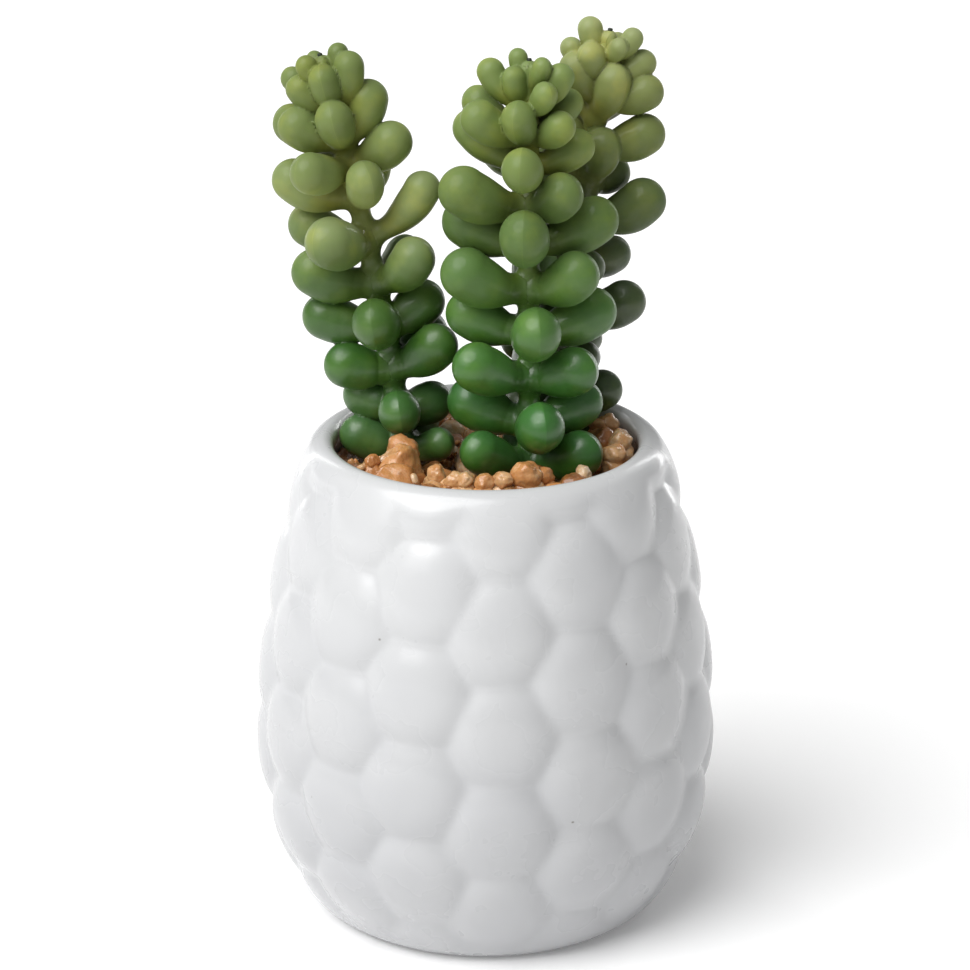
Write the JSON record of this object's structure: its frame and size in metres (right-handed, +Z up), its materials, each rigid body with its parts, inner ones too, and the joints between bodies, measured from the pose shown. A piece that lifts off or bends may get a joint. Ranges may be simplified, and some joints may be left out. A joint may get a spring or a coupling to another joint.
{
  "type": "potted burro's tail plant",
  "caption": "Artificial burro's tail in a white glazed ceramic pot: upright stems of fat green leaves in glued gravel, over a honeycomb of soft domes on the pot.",
  "frame": {"origin": "middle of the pot's flat foot, on the surface that the pot stands on", "axes": "+Z up along the pot's axis, -Y towards the front of the picture, +X to its right"},
  "size_m": [0.0837, 0.0837, 0.162],
  "materials": {
    "glaze": "glossy white glaze",
    "foam": "rigid cast foam",
    "gravel": "crushed stone wetted with clear glue",
    "leaf_left": "soft moulded plastic, dark green at the base, pale olive at the tip",
    "leaf_centre": "soft moulded plastic, deep green at the base, mid green at the tip",
    "leaf_right": "soft moulded plastic, dark green at the base, yellow olive at the tip",
    "wire": "wire in a dark green coat"
  },
  "bodies": {
    "root": {"pot": "glaze", "foam_filling": "foam", "gravel_bed": "gravel", "leafy_stem_left": "leaf_left", "leafy_stem_centre": "leaf_centre", "leafy_stem_right": "leaf_right", "stem_wire_left": "wire", "stem_wire_centre": "wire", "stem_wire_right": "wire"}
  },
  "joints": []
}
